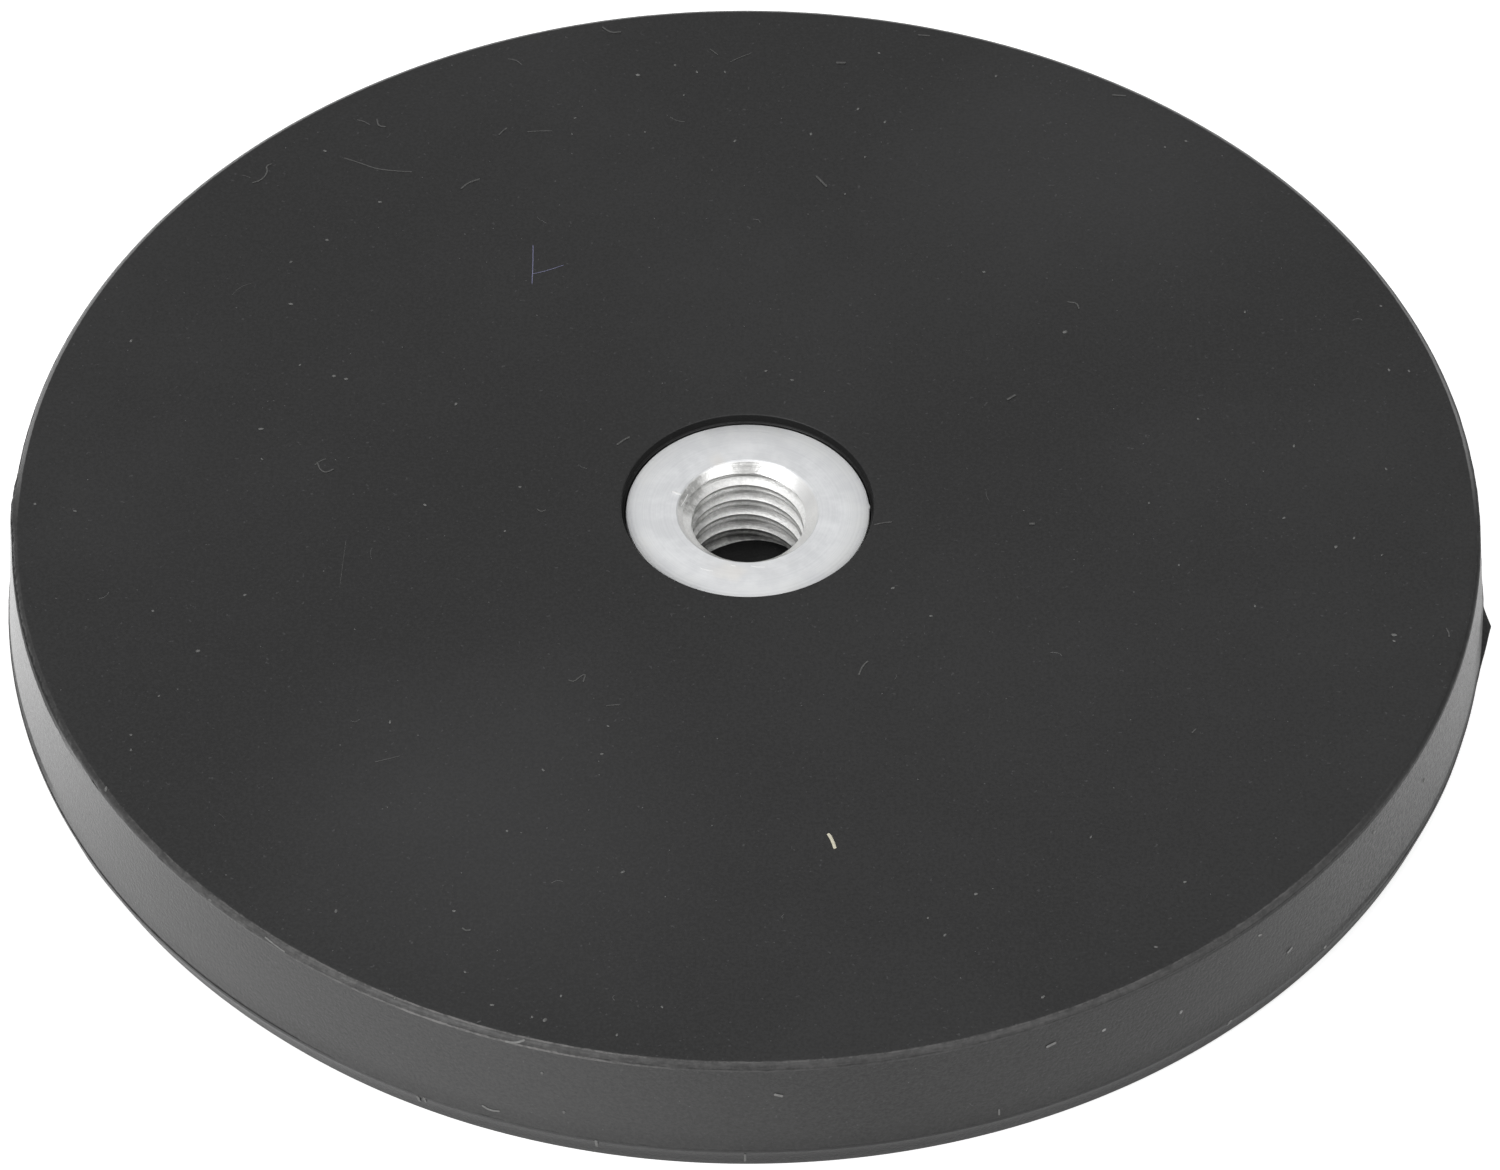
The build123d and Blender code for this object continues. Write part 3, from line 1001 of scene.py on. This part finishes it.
# Each speck: its radius in microns, and the point of the camera's frame where it lies.
SPECKS = {
    "far_1": (60, 697, 72), "far_2": (80, 638, 75), "far_3": (50, 675, 65),
    "far_4": (60, 725, 72), "far_5": (50, 684, 95), "far_6": (55, 645, 132),
    "far_7": (60, 735, 141), "far_8": (55, 575, 118), "far_9": (55, 572, 134),
    "far_left_1": (85, 325, 151), "far_left_2": (70, 380, 202), "far_left_3": (70, 327, 240),
    "far_left_4": (55, 291, 262), "far_left_5": (80, 291, 304),
    "left_1": (85, 131, 341), "left_2": (85, 334, 376), "left_3": (75, 346, 379),
    "left_4": (55, 300, 365), "left_5": (75, 456, 404), "left_6": (85, 261, 429),
    "left_7": (55, 262, 459), "left_8": (75, 425, 505), "left_9": (75, 520, 487),
    "left_10": (70, 35, 504), "left_11": (60, 75, 511), "left_12": (55, 505, 531),
    "left_13": (65, 245, 595), "left_14": (70, 153, 611), "left_15": (90, 198, 651),
    "left_16": (60, 131, 735), "left_17": (65, 131, 750), "left_18": (60, 159, 696),
    "rim_left_1": (80, 106, 789), "rim_left_2": (60, 210, 900), "rim_left_3": (60, 395, 998),
    "near_1": (60, 608, 726), "near_2": (60, 602, 754), "near_3": (75, 390, 722),
    "near_4": (60, 543, 770), "near_5": (65, 507, 831), "near_6": (80, 623, 872),
    "near_7": (70, 336, 911), "near_8": (70, 454, 911), "near_9": (60, 465, 972),
    "near_10": (70, 561, 996), "near_11": (65, 492, 1005), "near_12": (65, 532, 1017),
    "near_13": (85, 545, 1020), "near_14": (60, 617, 1035), "near_15": (55, 662, 1007),
    "right_1": (75, 885, 122), "right_2": (70, 811, 134), "right_3": (60, 858, 109),
    "right_4": (55, 845, 194), "right_5": (50, 865, 157), "right_6": (55, 879, 53),
    "right_7": (60, 996, 76), "right_8": (55, 1165, 147), "right_9": (55, 1186, 141),
    "right_10": (65, 984, 272), "right_11": (90, 1065, 332), "right_12": (60, 1245, 312),
    "right_13": (65, 1381, 306), "right_14": (70, 1389, 370), "right_15": (60, 1409, 371),
    "right_16": (70, 1198, 419), "right_17": (75, 1294, 446), "right_18": (65, 1386, 469),
    "right_19": (65, 1149, 503), "right_20": (75, 1284, 518), "right_21": (90, 1336, 547),
    "right_22": (65, 1354, 538), "right_23": (55, 1382, 555), "right_24": (65, 1179, 565),
    "right_25": (70, 893, 588), "right_26": (65, 931, 616), "right_27": (60, 1255, 606),
    "right_28": (95, 1394, 635), "right_31": (60, 1394, 641), "right_29": (60, 766, 371),
    "right_30": (60, 792, 380),
    "near_right_1": (65, 1091, 837), "near_right_2": (65, 1185, 882), "near_right_3": (75, 976, 894),
    "near_right_4": (60, 928, 918), "near_right_5": (65, 945, 935), "near_right_6": (65, 1156, 947),
    "near_right_7": (75, 1043, 997), "wall_1": (70, 542, 1073), "wall_2": (80, 564, 1112),
}
RIGHT_WALL_SPECKS = {
    "wall_4": (80, 1104, 1030), "wall_5": (75, 1181, 1012), "wall_6": (80, 1325, 947),
    "wall_7": (80, 1260, 935), "wall_8": (90, 1374, 832), "wall_9": (90, 1424, 780),
}
HAIR_SWELL = 2.2
HAIR_FLATNESS = 0.5
HAIR_SINK = 0.35
HAIR_TIP = 0.45
HAIR_SIDES = 5
SPECK_SWELL = 1.65

FLECK_DENSITY = 46000.0
WISP_DENSITY = 5200.0
FLECK_RADIUS = 0.030 * MM
WISP_LENGTH = 0.45 * MM
DUSTY_SEGMENTS = 720


def seen_on(surface, across, down):
    """The point of a surface seen at a point of the camera's frame, and the normal there."""
    place, normal, _, _ = surface.ray_cast(*sight(across, down))
    return place, normal


def round_corners(points):
    """A smoother path: each corner cut twice, the ends kept."""
    for _ in range(2):
        cut = [points[0]]
        for near, far in zip(points, points[1:]):
            cut += [near.lerp(far, 0.25), near.lerp(far, 0.75)]
        points = cut + [points[-1]]
    return points


def add_hair(mesh, surface, half_thickness, *pixels):
    """A thin flattened fibre lying along the surface."""
    radius = half_thickness * HAIR_SWELL * MICRON
    seats = [seen_on(surface, *pixel) for pixel in pixels]
    path = round_corners([place + normal * radius * HAIR_SINK for place, normal in seats])
    up = sum((normal for _, normal in seats), Vector()).normalized()
    rings = []
    for i, place in enumerate(path):
        run = (path[min(i + 1, len(path) - 1)] - path[max(i - 1, 0)]).normalized()
        side = up.cross(run).normalized()
        thick = radius * (HAIR_TIP if i in (0, len(path) - 1) else 1.0)
        rings.append([])
        for k in range(HAIR_SIDES):
            angle = 2 * pi * k / HAIR_SIDES
            out = cos(angle) * side + HAIR_FLATNESS * sin(angle) * up
            rings[-1].append(mesh.verts.new(place + thick * out))
    join_rings(mesh, rings)
    mesh.faces.new(rings[0])
    mesh.faces.new(rings[-1])


def add_speck(mesh, surface, chance, radius, across, down):
    """A flat crumb, half sunk in the surface and turned at random."""
    place, normal = seen_on(surface, across, down)
    level = normal.to_track_quat("Z", "Y")
    turn = Matrix.Rotation(chance.uniform(0, pi), 4, "Z")
    shape = Matrix.Diagonal((chance.uniform(0.9, 1.4), chance.uniform(0.6, 0.9), 0.5, 1.0))
    matrix = Matrix.LocRotScale(place, level, None) @ turn @ shape
    bmesh.ops.create_icosphere(mesh, subdivisions=1, radius=radius * SPECK_SWELL * MICRON, matrix=matrix)


def strew(tree, given, shape, density, seed, low, high):
    """Copies of a shape strewn over the given surface, turned at random and sized between two scales."""
    links = {"Mesh": given["Geometry"], "Density": density, "Seed": seed}
    points = wire(tree, "GeometryNodeDistributePointsOnFaces", links).outputs
    yaw = wire(tree, "FunctionNodeRandomValue", {2: 0.0, 3: 2 * pi, "Seed": seed}, data_type="FLOAT")
    about = wire(tree, "ShaderNodeCombineXYZ", {2: yaw.outputs[1]}).outputs[0]
    about = wire(tree, "FunctionNodeEulerToRotation", {0: about}).outputs[0]
    links = {"Rotation": points["Rotation"], "Rotate By": about}
    turned = wire(tree, "FunctionNodeRotateRotation", links, rotation_space="LOCAL").outputs[0]
    size = wire(tree, "FunctionNodeRandomValue", {0: low, 1: high, "Seed": seed}, data_type="FLOAT_VECTOR")
    links = {"Points": points["Points"], "Instance": shape, "Rotation": turned, "Scale": size.outputs[0]}
    return wire(tree, "GeometryNodeInstanceOnPoints", links).outputs[0]


def scatter_tree(material):
    """Geometry nodes that strew flecks and short bent wisps over a surface, and its inputs' values."""
    tree = bpy.data.node_groups.new("strewn_lint", "GeometryNodeTree")
    tree.interface.new_socket("Geometry", in_out="INPUT", socket_type="NodeSocketGeometry")
    values = {}
    for label, kind, value in (
        ("Fleck Density", "NodeSocketFloat", FLECK_DENSITY),
        ("Wisp Density", "NodeSocketFloat", WISP_DENSITY),
        ("Fleck Radius", "NodeSocketFloat", FLECK_RADIUS),
        ("Wisp Length", "NodeSocketFloat", WISP_LENGTH),
        ("Seed", "NodeSocketInt", 11),
        ("Material", "NodeSocketMaterial", material),
    ):
        values[tree.interface.new_socket(label, in_out="INPUT", socket_type=kind).identifier] = value
    tree.interface.new_socket("Geometry", in_out="OUTPUT", socket_type="NodeSocketGeometry")
    given = tree.nodes.new("NodeGroupInput").outputs
    result = tree.nodes.new("NodeGroupOutput")

    fleck = wire(tree, "GeometryNodeMeshIcoSphere", {"Radius": given["Fleck Radius"], "Subdivisions": 1})
    small, large = (0.7, 0.5, 0.4), (2.2, 1.2, 0.6)
    flecks = strew(tree, given, fleck.outputs[0], given["Fleck Density"], given["Seed"], small, large)
    links = {"Resolution": 6, "Start": (-0.5, 0.0, 0.0), "Middle": (0.1, 0.5, 0.0), "End": (0.5, 0.0, 0.0)}
    bend = wire(tree, "GeometryNodeCurveQuadraticBezier", links).outputs[0]
    profile = wire(tree, "GeometryNodeCurvePrimitiveCircle", {"Resolution": 4, "Radius": 0.025}).outputs[0]
    links = {"Curve": bend, "Profile Curve": profile, "Fill Caps": True}
    wisp = wire(tree, "GeometryNodeCurveToMesh", links)
    sized = wire(tree, "ShaderNodeCombineXYZ", {i: given["Wisp Length"] for i in range(3)}).outputs[0]
    wisp = wire(tree, "GeometryNodeTransform", {"Geometry": wisp.outputs[0], "Scale": sized}).outputs[0]
    other_seed = plus(given["Seed"], 7.0)
    small, large = (0.6, 0.1, 1.0), (2.0, 1.4, 1.2)
    wisps = strew(tree, given, wisp, given["Wisp Density"], other_seed, small, large)
    joined = tree.nodes.new("GeometryNodeJoinGeometry")
    tree.links.new(flecks, joined.inputs[0])
    tree.links.new(wisps, joined.inputs[0])
    real = wire(tree, "GeometryNodeRealizeInstances", {0: joined.outputs[0]}).outputs[0]
    painted = wire(tree, "GeometryNodeSetMaterial", {"Geometry": real, "Material": given["Material"]})
    tree.links.new(painted.outputs[0], result.inputs[0])
    return tree, values


def strew_lint(material):
    """Fine dust strewn over the jacket's top and wall."""
    mesh = bmesh.new()
    wall = [PARTING_HEIGHT + 0.3 * MM, WALL_TOP - 0.5 * MM]
    top = [(r, HEIGHT) for r in (RIM_RADIUS - 0.8 * MM, BUSH_RADIUS + 0.8 * MM)]
    for band in (top, [(RIM_RADIUS + (WALL_TOP - z) * tan(WALL_DRAFT), z) for z in wall]):
        join_rings(mesh, [add_ring(mesh, r, z, DUSTY_SEGMENTS) for r, z in band])
    host = finish_mesh("dusty", mesh)
    modifier = host.modifiers.new("strewn_lint", "NODES")
    modifier.node_group, values = scatter_tree(material)
    for identifier, value in values.items():
        modifier[identifier] = value
    host.update_tag()
    bpy.context.view_layer.update()
    data = bpy.data.meshes.new_from_object(host.evaluated_get(bpy.context.evaluated_depsgraph_get()))
    bpy.data.objects.remove(host)
    piece = place_object("strewn_dust", data)
    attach(piece, "root")


def lay_lint(jacket, bush):
    """The hairs, fibres, specks and scratches that can be told one by one, then the strewn dust."""
    graph = bpy.context.evaluated_depsgraph_get()
    rubber_skin = BVHTree.FromObject(jacket, graph)
    zinc_skin = BVHTree.FromObject(bush, graph)
    chance = random.Random(5)

    def lay(name, hairs, specks, skin, *look):
        mesh = bmesh.new()
        for hair in hairs.values():
            add_hair(mesh, skin, *hair)
        for speck in specks.values():
            add_speck(mesh, skin, chance, *speck)
        bmesh.ops.recalc_face_normals(mesh, faces=mesh.faces)
        piece = finish_mesh(name, mesh, 60)
        piece.data.materials.append(make_lint(*look))
        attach(piece, "root")

    grey = ("grey_lint", (0.048, 0.048, 0.048), (0.135, 0.135, 0.132))
    on_wall = ("wall_lint", (0.13, 0.13, 0.127), (0.26, 0.26, 0.255))
    pale = ("pale_lint", (0.09, 0.09, 0.09), (0.21, 0.21, 0.205))
    # Lint on the right wall, painted paler to offset the dim light there.
    bright = ("lint_painted_lighter", (0.20, 0.20, 0.197), (0.36, 0.36, 0.353))
    cream = ("cream_lint", (0.62, 0.58, 0.44), (0.80, 0.77, 0.64))
    bluish = ("bluish_fibre", (0.13, 0.13, 0.24), (0.26, 0.26, 0.38))
    flake = ("zinc_flake", (0.90, 0.90, 0.90), (0.97, 0.97, 0.96))
    lay("hairs", HAIRS, {}, rubber_skin, *grey)
    lay("wall_hairs", WALL_HAIRS, {}, rubber_skin, *on_wall)
    lay("specks", {}, SPECKS, rubber_skin, *pale)
    lay("right_wall_lint", RIGHT_WALL_HAIRS, RIGHT_WALL_SPECKS, rubber_skin, *bright)
    lay("cream_fibre", CREAM_FIBRE, {}, rubber_skin, *cream)
    lay("blue_scratch", BLUE_SCRATCH, {}, rubber_skin, *bluish)
    lay("zinc_flakes", BUSH_FLAKES, {}, zinc_skin, *flake)
    strew_lint(make_lint("fine_dust", (0.07, 0.07, 0.07), (0.22, 0.22, 0.22)))


# -------- stage

FLOOR_RADIUS = 4.0
FLOOR_HOLE = FOOT_RADIUS - 0.3 * MM
FLOOR_COLOUR = (0.82, 0.82, 0.82, 1)
FLOOR_GLOW = 0.8
FLOOR_CONTACT_GLOW = 0.6
CONTACT_REACH = 1.5 * MM
# How bright the floor is where the part mirrors it: along X, from and to in metres, then the levels.
FLOOR_LEFT = (0.012, -0.016, 0.42, 1.0)
FLOOR_FAR_LEFT = (-0.040, -0.050, 0.0, 0.50)
FLOOR_RIGHT = (0.037, 0.052, 0.0, 0.34)
# How fast that falls off close to the part, along X, and how it rises near the part, by distance.
FLOOR_CLOSE_SHADE = (-0.014, -0.030, 2.8, 1.5)
FLOOR_NEAR_BOOST = (0.064, 0.047, 1.0, 1.2)
# The tent's levels, each by a part of the direction: from, to, then the levels.
TENT_BY_HEIGHT = (0.0, 1.0, 0.35, 0.9)
TENT_TO_RIGHT = (-1.0, 1.0, 1.12, 0.88)
TENT_BELOW = (-0.02, -0.5, 0.0, 0.9)
TENT_IN_FRONT = (-1.0, -0.1, 0.75, 1.0)
TENT_FILL = 0.45
# Each soft box: its name, its place, its side and its power.
LAMPS = (
    ("box_left", (-0.42, -0.40, 0.46), 0.34, 2.8),
    ("box_right", (0.42, -0.40, 0.46), 0.34, 1.5),
    ("box_over", (0.0, -0.17, 0.57), 0.3, 0.34),
)


def backdrop_seen(tree):
    """Whether the camera sees the backdrop, and whether a reflection or a glass does."""
    path = tree.nodes.new("ShaderNodeLightPath").outputs
    return path["Is Camera Ray"], most(path["Is Glossy Ray"], path["Is Transmission Ray"])


def make_floor():
    """A pale floor that shows white to the camera and keeps the part's shadow, open under the part."""
    mesh = bmesh.new()
    join_rings(mesh, [add_ring(mesh, radius, 0.0, CORE_SEGMENTS) for radius in (FLOOR_RADIUS, FLOOR_HOLE)])
    floor = finish_mesh("floor", mesh)
    material, shader, point = new_material("floor_paint")
    tree = point.id_data
    x, _, _, _, away = about_axis(point)
    links = {"Distance": CONTACT_REACH}
    open_sky = wire(tree, "ShaderNodeAmbientOcclusion", links, samples=8).outputs["AO"]
    shade = maths("POWER", open_sky, spread(x, *FLOOR_CLOSE_SHADE))
    shade = within(shade, (away, *FLOOR_NEAR_BOOST))
    level = plus(*(spread(x, *span) for span in (FLOOR_LEFT, FLOOR_FAR_LEFT, FLOOR_RIGHT)))
    camera_ray, mirrored = backdrop_seen(tree)
    direct = within(camera_ray, (open_sky, 0.0, 1.0, FLOOR_CONTACT_GLOW, FLOOR_GLOW))
    glow = most(direct, times(mirrored, level, shade))
    feed(shader, {"Base Color": FLOOR_COLOUR, "Roughness": 0.9, "Specular IOR Level": 0.0})
    feed(shader, {"Emission Color": (1, 1, 1, 1), "Emission Strength": glow})
    floor.data.materials.append(material)


def make_world():
    """A white tent: brightest overhead, dimmer towards the horizon, to the right and in front."""
    world = bpy.data.worlds.new("studio")
    bpy.context.scene.world = world
    world.use_nodes = True
    tree = world.node_tree
    direction = tree.nodes.new("ShaderNodeTexCoord").outputs["Generated"]
    x, y, z = wire(tree, "ShaderNodeSeparateXYZ", {0: direction}).outputs
    tent = within(spread(z, *TENT_BY_HEIGHT), (x, *TENT_TO_RIGHT))
    tent = within(plus(tent, spread(z, *TENT_BELOW)), (y, *TENT_IN_FRONT))
    camera_ray, mirrored = backdrop_seen(tree)
    level = within(tent, (mirrored, 0.0, 1.0, TENT_FILL, 1.0))
    feed(tree.nodes["Background"].inputs, {"Color": (1, 1, 1, 1), "Strength": most(level, camera_ray)})


def make_lights():
    """Two soft boxes beside the camera, the left one the stronger, and a dim one overhead."""
    for name, place, side, power in LAMPS:
        data = bpy.data.lights.new(name, "AREA")
        data.shape = "SQUARE"
        data.size = side
        data.energy = power
        lamp = place_object(name, data)
        turn = (-Vector(place)).to_track_quat("-Z", "Y")
        lamp.matrix_world = Matrix.LocRotScale(Vector(place), turn, None)
        lamp.visible_camera = False


# -------- assembly

jacket = make_jacket()
jacket.data.materials.append(make_rubber())
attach(jacket, "root")
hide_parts("rubber_jacket")

bush = make_bush()
bush.data.materials.append(make_zinc())
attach(bush, "root")
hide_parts("threaded_bush")

plate_steel = make_metal("rolled_steel", (0.30, 0.30, 0.31, 1), (0.42, 0.42, 0.43, 1), 0.38, 900.0)
nickel = make_metal("nickel_plate", (0.62, 0.60, 0.56, 1), (0.72, 0.70, 0.66, 1), 0.18, 2500.0)
for name, node in frame["nodes"].items():
    hidden_metal = plate_steel if name == "steel_plate" else nickel
    if name not in ("rubber_jacket", "threaded_bush"):
        node.data.materials.clear()
        node.data.materials.append(hidden_metal)

lay_lint(jacket, bush)
make_floor()
make_world()
make_lights()

bpy.context.scene.view_settings.view_transform = "Standard"
